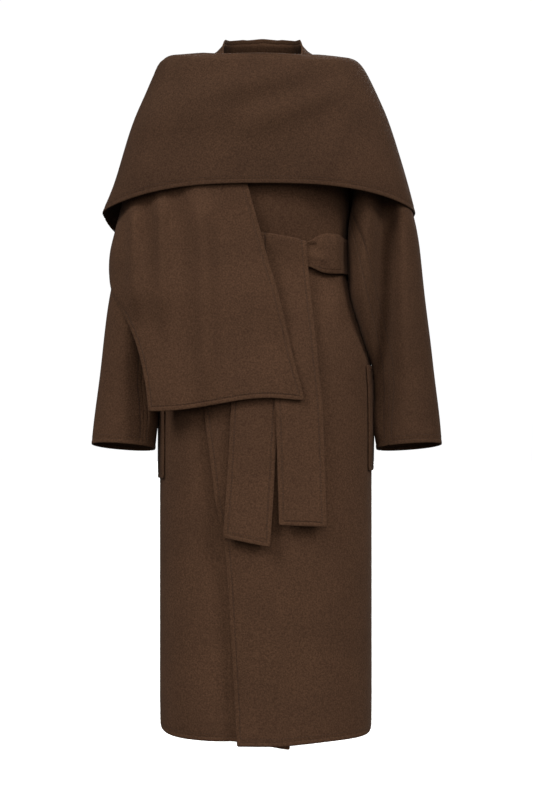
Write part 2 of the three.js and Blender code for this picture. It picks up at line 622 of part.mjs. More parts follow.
// The over end hangs from the top of the waist belt, rolls over it, and goes down behind it.
const ROLL = { top: -329, slope: 7, radius: 6.7, tail: 17, share: 0.84 };
const beltOver = clothWall(
  "belt_end_over",
  (u, v) => {
    const slope = lerp(ROLL.slope, -ROLL.slope, u);
    if (v <= ROLL.share) {
      const z = lerp(-823, ROLL.top, v / ROLL.share);
      return overEnd(u, z, lerp(-2, 2, u) * (1 - v / ROLL.share) - (slope * v) / ROLL.share);
    }
    const front = overEnd(u, ROLL.top, -slope);
    const past = (v - ROLL.share) / (1 - ROLL.share);
    const turn = Math.PI * Math.min(1, past / 0.6);
    const tail = ROLL.tail * Math.max(0, (past - 0.6) / 0.4);
    const inward = skirtFront(front.x, front.z - tail) - skirtFront(front.x, front.z);
    front.y += ROLL.radius * (1 - Math.cos(turn)) + inward;
    front.z += ROLL.radius * Math.sin(turn) - tail;
    return front;
  },
  range(5),
  [0, 0.03, 0.1, 0.19, 0.28, 0.37, 0.46, 0.55, 0.63, 0.7, 0.77, 0.84, 0.872, 0.904, 0.936, 1],
);

// ---------------------------------------------------------------- pocket welts
const pocketAngle = (side, u) => side * lerp(POCKET.fromAngle, POCKET.toAngle, side > 0 ? u : 1 - u);
const pocketWall = (name, side, { low, high }) =>
  clothWall(
    name,
    movedOut(
      (u, v) => ringPoint(pocketAngle(side, u), lerp(low, high, v)),
      (u) => CLOTH + LAYER_GAP + (side > 0 ? overlapLift(pocketAngle(side, u)) : 0),
    ),
    range(6),
    range(6),
  );
const pockets = [pocketWall("pocket_left", 1, POCKET.left), pocketWall("pocket_right", -1, POCKET.right)];

// ---------------------------------------------------------------- the coat
const capeCoat = new THREE.Group();
capeCoat.name = "cape_coat";
capeCoat.add(frontOver, frontUnder, back, collar, ...sleeveWalls, capeFront, capeBack, scarfEnd);
capeCoat.add(beltWaist, beltUnder, beltOver, ...pockets);

export default capeCoat;
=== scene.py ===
"""A long wrap coat in thick brown double-faced wool, with a shoulder cape, a hanging scarf end and a tied belt.

Each cloth wall of the frame is copied, sewn along its edges, softened, creased and given a felted wool finish.
Metres. +Z is up, the front faces -Y, and +X is the wearer's left.
"""
import math

import bmesh
import bpy
import numpy as np
from bpy.props import FloatProperty, FloatVectorProperty, IntProperty, PointerProperty
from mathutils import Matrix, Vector


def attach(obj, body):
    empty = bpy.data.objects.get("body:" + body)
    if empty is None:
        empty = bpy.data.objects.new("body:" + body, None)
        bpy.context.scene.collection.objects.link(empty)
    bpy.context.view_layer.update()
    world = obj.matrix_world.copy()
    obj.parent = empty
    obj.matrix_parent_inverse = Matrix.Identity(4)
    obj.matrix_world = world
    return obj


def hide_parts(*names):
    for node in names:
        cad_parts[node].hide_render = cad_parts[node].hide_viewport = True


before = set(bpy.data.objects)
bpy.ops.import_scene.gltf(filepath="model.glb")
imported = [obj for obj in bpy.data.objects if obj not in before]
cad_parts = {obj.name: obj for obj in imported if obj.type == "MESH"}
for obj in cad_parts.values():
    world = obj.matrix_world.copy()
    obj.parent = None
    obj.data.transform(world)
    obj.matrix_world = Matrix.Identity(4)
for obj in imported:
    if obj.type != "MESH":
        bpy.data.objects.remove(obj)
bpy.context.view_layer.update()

bl_info = {
    "name": "Cape Coat",
    "version": (1, 0, 0),
    "blender": (4, 5, 0),
    "location": "View3D > Sidebar > Cape Coat",
    "description": "Sews and dresses a belted wool wrap coat with a cape and a scarf end",
    "category": "Add Mesh",
}


# ------------------------------------------------------------------ settings
class WoolSettings(bpy.types.PropertyGroup):
    """The cloth's finish."""

    colour: FloatVectorProperty(
        name="Wool", description="Colour of the wool", subtype="COLOR", size=4, min=0, max=1,
        default=(0.0482, 0.0226, 0.0113, 1),
    )
    light_fibre: FloatVectorProperty(
        name="Light fibre", description="Colour of the lighter fibres in the felt", subtype="COLOR", size=4,
        min=0, max=1, default=(0.0920, 0.0462, 0.0245, 1),
    )
    thread: FloatVectorProperty(
        name="Thread", description="Colour of the sewing thread", subtype="COLOR", size=4, min=0, max=1,
        default=(0.0290, 0.0138, 0.0072, 1),
    )
    roughness: FloatProperty(name="Roughness", description="How matt the wool is", default=0.92, min=0, max=1)
    sheen: FloatProperty(name="Sheen", description="Strength of the brushed nap's glow", default=0.03, min=0, max=1)
    fleck: FloatProperty(
        name="Fleck size", description="Size of the felt's flecks", default=0.0027, min=0.0005, max=0.02,
        subtype="DISTANCE", unit="LENGTH",
    )
    nap: FloatProperty(
        name="Nap height", description="How far the brushed nap stands up", default=0.0005, min=0, max=0.003,
        subtype="DISTANCE", unit="LENGTH",
    )


class SewingSettings(bpy.types.PropertyGroup):
    """Edges, stitch channels and thread."""

    lip: FloatProperty(
        name="Lip", description="From a cut edge to its stitch channel", default=0.0058, min=0.002, max=0.02,
        subtype="DISTANCE", unit="LENGTH",
    )
    channel_width: FloatProperty(
        name="Channel width", description="Width of the channel that the stitches draw in", default=0.0026,
        min=0.0005, max=0.01, subtype="DISTANCE", unit="LENGTH",
    )
    channel_depth: FloatProperty(
        name="Channel depth", description="Depth of that channel", default=0.0007, min=0, max=0.002,
        subtype="DISTANCE", unit="LENGTH",
    )
    stitch_length: FloatProperty(
        name="Stitch length", description="Length of one stitch", default=0.0032, min=0.001, max=0.01,
        subtype="DISTANCE", unit="LENGTH",
    )
    stitch_pitch: FloatProperty(
        name="Stitch spacing", description="From one stitch to the next", default=0.0046, min=0.001, max=0.02,
        subtype="DISTANCE", unit="LENGTH",
    )
    thread_thickness: FloatProperty(
        name="Thread thickness", description="Thickness of the thread", default=0.0008, min=0.0002, max=0.003,
        subtype="DISTANCE", unit="LENGTH",
    )
    smoothing: IntProperty(name="Smoothing", description="Subdivision levels of the cloth", default=2, min=1, max=3)
    edge_crease: FloatProperty(
        name="Edge crease", description="How firm the turned edges are", default=0.25, min=0, max=1,
    )
    corner_crease: FloatProperty(
        name="Corner crease", description="How sharp the corners are", default=0.7, min=0, max=1,
    )
    plump: FloatProperty(
        name="Plump edge", description="How far a turned edge swells", default=0.0006, min=0, max=0.002,
        subtype="DISTANCE", unit="LENGTH",
    )


class StudioSettings(bpy.types.PropertyGroup):
    """Light, floor and camera."""

    daylight: FloatProperty(name="Daylight", description="Strength of the even light all round", default=0.16, min=0)
    key: FloatProperty(name="Key light", description="Strength of the soft light on the left", default=2.4, min=0)
    second: FloatProperty(name="Second light", description="Strength of the soft light on the right", default=2.0,
                          min=0)
    front: FloatProperty(name="Front light", description="Strength of the wide light in front", default=1.3, min=0)
    back: FloatProperty(name="Back light", description="Strength of the soft light high behind", default=1.0, min=0)
    softness: FloatProperty(name="Softness", description="How wide the lights are seen", default=math.radians(22),
                            subtype="ANGLE", unit="ROTATION")
    backdrop: FloatProperty(name="Backdrop", description="Brightness of the white backdrop", default=1.02, min=0)
    floor_height: FloatProperty(name="Floor height", description="Height of the floor", default=-1.75,
                                subtype="DISTANCE", unit="LENGTH")
    camera_place: FloatVectorProperty(name="Camera place", description="Where the camera stands", size=3,
                                      subtype="TRANSLATION", unit="LENGTH", default=(0.0072, -3.2, -0.608))
    lens: FloatProperty(name="Lens", description="Focal length in millimetres", default=80, min=10)


SETTINGS = {"coat_wool": WoolSettings, "coat_sewing": SewingSettings, "coat_studio": StudioSettings}

# Where a piece's outer face looks, if the middle of the piece doesn't tell it: a step from its middle inwards.
INWARDS = {
    "belt_end_over": (0, 0.2, 0),
    "belt_end_under": (0, 0.2, 0),
    "scarf_end": (0, 0.1, 0),
    "pocket_left": (-0.2, 0, 0),
    "pocket_right": (0.2, 0, 0),
}

# Pieces whose wool colour is made darker as painted shade, standing in for the shade that falls on the cape and the
# left sleeve.
SHADE_PAINTED_PIECES = ("cape_front", "cape_back", "sleeve_left_upper", "sleeve_left_under")
# share of the wool's colour left under that painted shade
PAINTED_SHADE_SHARE = 0.85

# Pieces that are folded along their long edges, so that no sewing shows there.
FOLDED = ("belt_waist",)

# Pieces that move together where a fold crosses them.
BODY = ("front_over", "front_under", "back", "belt_waist", "belt_end_over", "belt_end_under", "pocket_left",
        "pocket_right")
LEFT_SLEEVE = ("sleeve_left_upper", "sleeve_left_under")
RIGHT_SLEEVE = ("sleeve_right_upper", "sleeve_right_under")

# The sides of the coat that a fold lies on.
FRONT, BACK, ALL_ROUND = -1, 1, 0

# The way a fold stands out, where it isn't straight away from the coat's middle.
FORWARDS = (0, -1, 0)
TO_THE_RIGHT = (-1, 0, 0)
UPWARDS = (0, 0, 1)


def fold(pieces, side, start, end, width, depth, way=None, tail=0.35):
    """A soft ridge from one (x, z) to another, or a trough where its depth is below 0.

    It begins a share (tail) of its own length before its start, and dies away past its end.
    """
    return {"pieces": pieces, "side": side, "start": np.array(start), "end": np.array(end), "width": width,
            "depth": depth, "way": way, "tail": tail}


FOLDS = [
    # the front of the skirt
    fold(BODY, FRONT, (0.105, -0.44), (0.128, -0.98), width=0.030, depth=0.0030),
    fold(BODY, FRONT, (-0.120, -0.60), (-0.135, -1.10), width=0.026, depth=0.0026),
    fold(BODY, FRONT, (-0.010, -0.88), (0.004, -1.17), width=0.034, depth=0.0022),
    # below the scarf's hem: the skirt rises, and the fronts cross a little further over
    fold(BODY, FRONT, (-0.150, -0.632), (-0.112, -0.636), width=0.020, depth=0.0065),
    fold(("front_over",), FRONT, (-0.078, -0.600), (-0.068, -0.800), width=0.045, depth=0.0100, way=TO_THE_RIGHT),
    # the under front sinks beside the crossing edge
    fold(("front_under",), FRONT, (-0.088, -0.68), (-0.052, -1.22), width=0.018, depth=-0.0080, tail=0.15),
    # the back of the skirt
    fold(BODY, BACK, (0.060, -0.44), (0.082, -1.12), width=0.030, depth=0.0085),
    fold(BODY, BACK, (-0.048, -0.47), (-0.066, -0.96), width=0.026, depth=0.0070),
    fold(BODY, BACK, (0.012, -0.62), (0.006, -1.18), width=0.024, depth=0.0055),
    fold(BODY, BACK, (-0.128, -0.55), (-0.140, -1.08), width=0.024, depth=0.0060),
    # the collar's top edge, which is level behind
    fold(("collar",), BACK, (-0.056, 0.048), (-0.034, 0.048), width=0.017, depth=0.0017, way=UPWARDS),
    fold(("collar",), BACK, (0.034, 0.048), (0.056, 0.048), width=0.017, depth=0.0017, way=UPWARDS),
    # the front of the cape: slanting ridges below the neck, and softer ones at both sides
    fold(("cape_front",), FRONT, (0.062, -0.038), (-0.134, -0.086), width=0.024, depth=0.0075),
    fold(("cape_front",), FRONT, (0.130, -0.070), (-0.010, -0.124), width=0.024, depth=0.0080),
    fold(("cape_front",), FRONT, (-0.070, -0.112), (-0.200, -0.124), width=0.026, depth=0.0060),
    fold(("cape_front",), FRONT, (0.143, -0.106), (0.100, -0.215), width=0.022, depth=0.0040),
    fold(("cape_front",), FRONT, (-0.176, -0.080), (-0.215, -0.200), width=0.022, depth=0.0032),
    # the back of the cape
    fold(("cape_back",), BACK, (0.120, -0.04), (0.150, -0.30), width=0.030, depth=0.0060),
    fold(("cape_back",), BACK, (-0.030, -0.06), (-0.070, -0.32), width=0.028, depth=0.0052),
    fold(("cape_back",), BACK, (0.040, -0.10), (0.046, -0.33), width=0.022, depth=0.0040),
    fold(("cape_back",), BACK, (-0.160, -0.06), (-0.190, -0.27), width=0.026, depth=0.0046),
    # the waves of the scarf's end, which start short of the cape's hem
    fold(("scarf_end",), FRONT, (-0.226, -0.274), (-0.224, -0.430), width=0.012, depth=0.0105, way=FORWARDS,
         tail=0.12),
    fold(("scarf_end",), FRONT, (-0.178, -0.264), (-0.172, -0.450), width=0.012, depth=0.0105, way=FORWARDS,
         tail=0.12),
    fold(("scarf_end",), FRONT, (-0.105, -0.258), (-0.094, -0.560), width=0.021, depth=0.0150, way=FORWARDS,
         tail=0.07),
    # the trough down the front of each sleeve
    fold(LEFT_SLEEVE, FRONT, (0.220, -0.18), (0.216, -0.62), width=0.017, depth=-0.030, way=FORWARDS),
    fold(RIGHT_SLEEVE, FRONT, (-0.214, -0.40), (-0.212, -0.64), width=0.016, depth=-0.006, way=FORWARDS),
    # the sleeves' inner sides, which lie close to the body
    fold(LEFT_SLEEVE, FRONT, (0.158, -0.27), (0.193, -0.530), width=0.038, depth=0.0062, way=TO_THE_RIGHT),
    fold(LEFT_SLEEVE, FRONT, (0.202, -0.560), (0.202, -0.590), width=0.025, depth=0.0026, way=TO_THE_RIGHT),
    fold(LEFT_SLEEVE, FRONT, (0.202, -0.600), (0.202, -0.665), width=0.025, depth=0.0022, way=TO_THE_RIGHT),
    fold(RIGHT_SLEEVE, FRONT, (-0.190, -0.600), (-0.190, -0.650), width=0.025, depth=-0.0036, way=TO_THE_RIGHT),
    # the body's left side and its pocket, which swell towards the sleeve
    fold(BODY, ALL_ROUND, (0.198, -0.522), (0.198, -0.554), width=0.012, depth=-0.0026, way=TO_THE_RIGHT),
    fold(BODY, ALL_ROUND, (0.200, -0.560), (0.200, -0.680), width=0.020, depth=-0.0008, way=TO_THE_RIGHT),
    fold(BODY, FRONT, (0.137, -0.26), (0.139, -0.43), width=0.022, depth=0.010, way=FORWARDS),
    # the small crease above the left cuff
    fold(LEFT_SLEEVE, FRONT, (0.276, -0.650), (0.300, -0.650), width=0.0035, depth=-0.0022, way=FORWARDS),
    # the belt's creases at the knot
    fold(("belt_waist",), FRONT, (0.076, -0.338), (0.092, -0.340), width=0.0055, depth=-0.0030, way=FORWARDS),
    fold(("belt_waist",), FRONT, (0.076, -0.357), (0.108, -0.362), width=0.0075, depth=0.0024, way=FORWARDS),
]

PAST_END = 1.35  # where a fold has died away, in its own lengths from its start
RISE, FALL = 0.15, 0.5  # how far past its start it is at full height, and over what length it dies away
SIDE_BLEND = 0.06  # how far from the coat's sides a fold of one side is at full height

CLOTH = 0.003  # the cloth's thickness
CLOTH_SLACK = 5e-7  # how far an edge across the cloth may be from that
WELD = 1e-5  # points of the frame's walls this close are one
FITTING_ROUNDS = 3  # how often the smooth cloth is fitted to its wall
SHORTEST_SEAM = 8  # points of the shortest line that is sewn


# ------------------------------------------------------------------ small helpers
def deselect():
    """Leaves nothing selected, in object mode."""
    if bpy.context.object and bpy.context.object.mode != "OBJECT":
        bpy.ops.object.mode_set(mode="OBJECT")
    bpy.ops.object.select_all(action="DESELECT")


def pick(thing):
    """Makes one object the only selected and active one."""
    deselect()
    thing.select_set(True)
    bpy.context.view_layer.objects.active = thing


def apply_modifiers(thing):
    """Makes an object's modifiers part of its mesh, in their order."""
    pick(thing)
    for modifier in list(thing.modifiers):
        bpy.ops.object.modifier_apply(modifier=modifier.name)


def points_of(mesh):
    """The places of a mesh's points, a row each."""
    flat = np.empty(len(mesh.vertices) * 3)
    mesh.vertices.foreach_get("co", flat)
    return flat.reshape(-1, 3)


def set_points(mesh, points):
    """Moves a mesh's points to these places."""
    mesh.vertices.foreach_set("co", points.reshape(-1))
    mesh.update()


def soft_step(value):
    """Goes gently from 0 to 1 as a value does."""
    value = np.clip(value, 0, 1)
    return value * value * (3 - 2 * value)


# ------------------------------------------------------------------ cloth
def copy_wall(node):
    """A copy of a cloth wall of the frame, merged and in quads."""
    pick(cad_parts[node])
    bpy.ops.object.duplicate()
    piece = bpy.context.object
    piece.name = piece.data.name = f"{node}_cloth"
    for key in [key for key in piece.keys() if key.startswith("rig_")]:
        del piece[key]
    piece.data.materials.clear()
    bpy.ops.object.mode_set(mode="EDIT")
    bpy.ops.mesh.select_mode(type="EDGE")
    bpy.ops.mesh.select_all(action="SELECT")
    bpy.ops.mesh.remove_doubles(threshold=WELD)
    bpy.ops.mesh.customdata_custom_splitnormals_clear()
    choose_diagonals(piece)
    bpy.ops.mesh.dissolve_edges(use_verts=False, use_face_split=False)
    bpy.ops.object.mode_set(mode="OBJECT")
    return piece


def is_across(edge):
    """Whether an edge leads from one side of the cloth to the other."""
    return abs(edge.calc_length() - CLOTH) < CLOTH_SLACK


def regions_of(shape):
    """The faces of the two sides of a wall, and then those of its turned edges."""
    turned = {face for face in shape.faces if any(is_across(edge) for edge in face.edges)}
    seen = set()
    regions = []
    for first in shape.faces:
        if first in seen:
            continue
        seen.add(first)
        region = [first]
        for face in region:
            for edge in face.edges:
                for other in edge.link_faces:
                    if other not in seen and (other in turned) == (first in turned):
                        seen.add(other)
                        region.append(other)
        regions.append(region)
    return sorted(regions, key=lambda region: (region[0] in turned, -sum(face.calc_area() for face in region)))


def diagonals_of(region):
    """The edges that halve the squares of a woven grid. Opposite sides of two joined triangles run the same way."""
    first = region[0]
    way = {edge: number for number, edge in enumerate(first.edges)}
    inside = set(region)
    done = {first}
    queue = [first]
    for face in queue:
        for shared in face.edges:
            for other in shared.link_faces:
                if other not in inside or other in done:
                    continue
                done.add(other)
                queue.append(other)
                for edge in other.edges:
                    if edge is not shared:
                        corner = shared.other_vert(next(v for v in edge.verts if v in shared.verts))
                        across = next(e for e in face.edges if e is not shared and corner in e.verts)
                        way.setdefault(edge, way[across])
    families = [[edge for edge, number in way.items() if number == family] for family in range(3)]

    def on_border(family):
        return sum(sum(face in inside for face in edge.link_faces) == 1 for edge in family)

    def length(family):
        return sum(edge.calc_length() for edge in family)

    return min(families, key=lambda family: (on_border(family), -length(family)))


def choose_diagonals(piece):
    """In edit mode, selects the diagonals of the whole wall."""
    bpy.ops.mesh.select_all(action="DESELECT")
    shape = bmesh.from_edit_mesh(piece.data)
    outer, inner, *edges = regions_of(shape)
    turned = {face for region in edges for face in region}
    diagonals = diagonals_of(outer) + diagonals_of(inner)
    diagonals += [e for e in shape.edges if not is_across(e) and all(face in turned for face in e.link_faces)]
    for edge in diagonals:
        edge.select_set(True)
    bmesh.update_edit_mesh(piece.data)


def cloth_sides(piece, node):
    """The faces of the outer and of the inner side of a wall, apart from its turned edges."""
    shape = bmesh.new()
    shape.from_mesh(piece.data)
    regions = regions_of(shape)
    middle = sum((face.calc_center_median() for face in regions[0]), Vector()) / len(regions[0])
    middle += Vector(INWARDS.get(node, (0, 0, 0)))

    def looks_out(region):
        return sum(face.normal.dot(face.calc_center_median() - middle) * face.calc_area() for face in region)

    outer, inner = sorted(regions[:2], key=looks_out, reverse=True)
    sides = [[face.index for face in side] for side in (outer, inner)]
    shape.free()
    return sides


def choose_faces(piece, indices):
    """In edit mode, selects just these faces."""
    shape = bmesh.from_edit_mesh(piece.data)
    wanted = set(indices)
    for face in shape.faces:
        face.select_set(False)
    for face in shape.faces:
        if face.index in wanted:
            face.select_set(True)
    bmesh.update_edit_mesh(piece.data)


def border_of(shape):
    """The edges between the selected faces and the others."""
    return [edge for edge in shape.edges if sum(face.select for face in edge.link_faces) == 1]


def firm_border(piece):
    """In edit mode, makes the border of the selected faces firm, and its corners firmer."""
    shape = bmesh.from_edit_mesh(piece.data)
    edge_crease = shape.edges.layers.float.get("crease_edge") or shape.edges.layers.float.new("crease_edge")
    corner_crease = shape.verts.layers.float.get("crease_vert") or shape.verts.layers.float.new("crease_vert")
    sewing = bpy.context.scene.coat_sewing
    for edge in border_of(shape):
        edge[edge_crease] = sewing.edge_crease
    for corner in shape.verts:
        if sum(face.select for face in corner.link_faces) == 1:
            corner[corner_crease] = sewing.corner_crease
            for edge in corner.link_edges:
                if not any(face.select for face in edge.link_faces):
                    edge[edge_crease] = sewing.corner_crease
    bmesh.update_edit_mesh(piece.data)


def mark_stitch_line(piece):
    """In edit mode, marks the border of the selected faces as a line to be sewn."""
    shape = bmesh.from_edit_mesh(piece.data)
    for edge in border_of(shape):
        edge.seam = True
    bmesh.update_edit_mesh(piece.data)


def sew_channels(piece, node):
    """A turned lip and a stitch channel along every edge, on both sides of the cloth."""
    sewing = bpy.context.scene.coat_sewing
    half = sewing.channel_width / 2
    depth = 0 if node in FOLDED else sewing.channel_depth
    sides = cloth_sides(piece, node)
    on_sides = set(sides[0]) | set(sides[1])
    turned = piece.data.attributes.new("turned_edge", "FLOAT", "FACE")
    turned.data.foreach_set("value", [float(i not in on_sides) for i in range(len(piece.data.polygons))])
    for side, faces in enumerate(sides):
        pick(piece)
        bpy.ops.object.mode_set(mode="EDIT")
        bpy.ops.mesh.select_mode(type="FACE")
        choose_faces(piece, faces)
        firm_border(piece)
        bpy.ops.mesh.inset(thickness=sewing.lip, use_even_offset=False)
        bpy.ops.mesh.inset(thickness=half, depth=-depth, use_even_offset=False)
        if side == 0 and node not in FOLDED:
            mark_stitch_line(piece)
        bpy.ops.mesh.inset(thickness=half, depth=depth, use_even_offset=False)
        bpy.ops.object.mode_set(mode="OBJECT")


def soften(piece, held_points):
    """Smooths the cloth. Its cage first moves so that the smooth cloth passes through the wall's own points."""
    levels = bpy.context.scene.coat_sewing.smoothing
    modifier = piece.modifiers.new("soft cloth", "SUBSURF")
    modifier.levels = modifier.render_levels = levels
    wanted = points_of(piece.data)
    cage = wanted.copy()
    for _ in range(FITTING_ROUNDS):
        bpy.context.view_layer.update()
        drawn = piece.evaluated_get(bpy.context.evaluated_depsgraph_get()).to_mesh()
        reached = points_of(drawn)[: len(wanted)]
        cage[held_points] += (wanted - reached)[held_points]
        set_points(piece.data, cage)
    apply_modifiers(piece)
    bpy.ops.object.shade_smooth()


def plump_edges(piece):
    """Swells the turned edges, so that a free one is round and two sewn ones meet."""
    mesh = piece.data
    turned = np.empty(len(mesh.polygons))
    mesh.attributes["turned_edge"].data.foreach_get("value", turned)
    all_turned = np.ones(len(mesh.vertices))
    for face in mesh.polygons:
        corners = list(face.vertices)
        all_turned[corners] = np.minimum(all_turned[corners], turned[face.index])
    normals = np.empty(len(mesh.vertices) * 3)
    mesh.vertices.foreach_get("normal", normals)
    points = points_of(mesh)
    plump = bpy.context.scene.coat_sewing.plump
    set_points(mesh, points + normals.reshape(-1, 3) * (all_turned > 0.5)[:, None] * plump)


def plain_points(piece):
    """The points of the cloth's faces that lie away from its edges and channels."""
    mesh = piece.data
    near_edge = np.zeros(len(mesh.vertices), bool)
    crease = mesh.attributes.get("crease_edge")
    for edge in mesh.edges:
        if edge.use_seam or (crease and crease.data[edge.index].value > 0):
            near_edge[list(edge.vertices)] = True
    return ~near_edge


def crease_cloth(piece, node):
    """Moves the cloth along its soft folds."""
    mesh = piece.data
    points = points_of(mesh)
    outwards = points * [1, 1, 0]
    outwards /= np.linalg.norm(outwards, axis=1, keepdims=True)
    moved = np.zeros((len(points), 3))
    for crease in FOLDS:
        if node not in crease["pieces"]:
            continue
        run = crease["end"] - crease["start"]
        place = points[:, [0, 2]] - crease["start"]
        tail = crease["tail"]
        along = np.clip(place @ run / (run @ run), -tail, PAST_END)
        away = np.linalg.norm(place - along[:, None] * run, axis=1)
        fade = soft_step((along + tail) / (tail + RISE)) * soft_step((PAST_END - along) / FALL)
        on_side = soft_step(points[:, 1] * crease["side"] / SIDE_BLEND) if crease["side"] else 1
        swell = crease["depth"] * fade * on_side * np.exp(-((away / crease["width"]) ** 2))
        moved += swell[:, None] * (crease["way"] or outwards)
    set_points(mesh, points + moved)


# ------------------------------------------------------------------ thread
STITCH_SIDES, STITCH_RINGS = 6, 4  # few, because there are thousands of stitches


def stitch_loops(piece):
    """The closed lines of points that the stitches follow."""
    shape = bmesh.new()
    shape.from_mesh(piece.data)
    left = {edge for edge in shape.edges if edge.seam}
    loops = []
    while left:
        edge = min(left, key=lambda e: e.index)
        start, here = edge.verts
        line = [start.co.copy()]
        left.discard(edge)
        while here is not start:
            line.append(here.co.copy())
            ahead = [e for e in here.link_edges if e in left]
            if not ahead:
                break
            edge = ahead[0]
            left.discard(edge)
            here = edge.other_vert(here)
        loops.append(line)
    shape.free()
    return [line for line in loops if len(line) > SHORTEST_SEAM]


def sew_line(points):
    """One run of stitches: a single stitch, made on a ball of size 1 and repeated along a closed line."""
    sewing = bpy.context.scene.coat_sewing
    curve = bpy.data.curves.new("stitch_line", "CURVE")
    curve.dimensions = "3D"
    spline = curve.splines.new("POLY")
    spline.points.add(len(points) - 1)
    for point, place in zip(spline.points, points):
        point.co = (*place, 1)
    spline.use_cyclic_u = True
    path = bpy.data.objects.new("stitch_line", curve)
    bpy.context.scene.collection.objects.link(path)
    length = spline.calc_length()
    count = max(3, round(length / sewing.stitch_pitch))
    deselect()
    bpy.ops.mesh.primitive_uv_sphere_add(segments=STITCH_SIDES, ring_count=STITCH_RINGS, radius=0.5)
    stitch = bpy.context.object
    bpy.ops.object.mode_set(mode="EDIT")
    bpy.ops.mesh.select_all(action="SELECT")
    bpy.ops.transform.rotate(value=math.radians(90), orient_axis="Y", center_override=(0, 0, 0))
    thick = sewing.thread_thickness
    bpy.ops.transform.resize(value=(sewing.stitch_length, thick, thick), center_override=(0, 0, 0))
    bpy.ops.object.mode_set(mode="OBJECT")
    array = stitch.modifiers.new("run", "ARRAY")
    array.use_relative_offset = False
    array.use_constant_offset = True
    array.constant_offset_displace = (length / count, 0, 0)
    array.count = count
    bend = stitch.modifiers.new("along", "CURVE")
    bend.object = path
    bend.deform_axis = "POS_X"
    apply_modifiers(stitch)
    bpy.data.objects.remove(path)
    return stitch


def sew_thread(piece, node):
    """The thread of all the stitch lines of a piece."""
    runs = [sew_line(line) for line in stitch_loops(piece)]
    deselect()
    for run in runs:
        run.select_set(True)
    bpy.context.view_layer.objects.active = runs[0]
    if len(runs) > 1:
        bpy.ops.object.join()
    thread = bpy.context.object
    thread.name = thread.data.name = f"{node}_thread"
    bpy.ops.object.shade_smooth()
    thread.data.materials.append(thread_finish())
    return thread


# ------------------------------------------------------------------ finishes
FLECK_SPREAD = (0.36, 0.66)  # the part of the noise that goes from bare wool to a whole fleck
FLECK_STRENGTH = 0.62
BARE_WOOL = 0.86  # brightness of the wool between its flecks, beside its colour
FIBRE_SHARE = 0.45  # size of the fibres, beside the flecks
FIBRE_STRETCH = (1, 1, 0.3)  # they lie up and down
CLOUD_SIZE = 0.09
CLOUD_SPREAD = (0.3, 0.7)
CLOUD_SHADES = (0.92, 1.08)  # brightness in and between the clouds
NAP_BUMP = 0.55
WOOL_GLOSS = 0.12
SHEEN_ROUGHNESS = 0.45
SHEEN_TINT = (0.55, 0.42, 0.34, 1)
TWIST_SIZE = 0.0006
TWIST_SHADES = (0.8, 1.2)  # brightness in and on the turns of the thread
THREAD_ROUGHNESS = 0.7
THREAD_GLOSS = 0.2
NOISE_ROUGHNESS = 0.6


def blank_finish(name):
    """A new material with its nodes, its links and its shader."""
    finish = bpy.data.materials.new(name)
    finish.use_nodes = True
    nodes = finish.node_tree.nodes
    return finish, nodes, finish.node_tree.links, nodes["Principled BSDF"]


def noise(nodes, links, place, size, detail, stretch=None):
    """A noise whose grains are about this size, in metres."""
    texture = nodes.new("ShaderNodeTexNoise")
    texture.inputs["Scale"].default_value = 1 / size
    texture.inputs["Detail"].default_value = detail
    texture.inputs["Roughness"].default_value = NOISE_ROUGHNESS
    if stretch:
        mapping = nodes.new("ShaderNodeMapping")
        mapping.inputs["Scale"].default_value = stretch
        links.new(place, mapping.inputs["Vector"])
        place = mapping.outputs["Vector"]
    links.new(place, texture.inputs["Vector"])
    return texture.outputs["Fac"]


def remap(nodes, links, value, spread, onto=(0, 1)):
    """Brings the part of a value that lies in one range onto another."""
    remapped = nodes.new("ShaderNodeMapRange")
    remapped.inputs["From Min"].default_value, remapped.inputs["From Max"].default_value = spread
    remapped.inputs["To Min"].default_value, remapped.inputs["To Max"].default_value = onto
    links.new(value, remapped.inputs["Value"])
    return remapped.outputs["Result"]


def reckon(nodes, links, operation, first, second):
    """A sum or product of a value and another one, or a number."""
    sum_or_product = nodes.new("ShaderNodeMath")
    sum_or_product.operation = operation
    links.new(first, sum_or_product.inputs[0])
    if isinstance(second, bpy.types.NodeSocket):
        links.new(second, sum_or_product.inputs[1])
    else:
        sum_or_product.inputs[1].default_value = second
    return sum_or_product.outputs[0]


def blend(nodes, links, factor, first, second):
    """A colour between two others."""
    tint = nodes.new("ShaderNodeMix")
    tint.data_type = "RGBA"
    tint.inputs["A"].default_value = first
    tint.inputs["B"].default_value = second
    links.new(factor, tint.inputs["Factor"])
    return tint.outputs["Result"]


def shaded(colour, brightness):
    """A colour made darker or lighter."""
    return [part * brightness for part in colour[:3]] + [1]


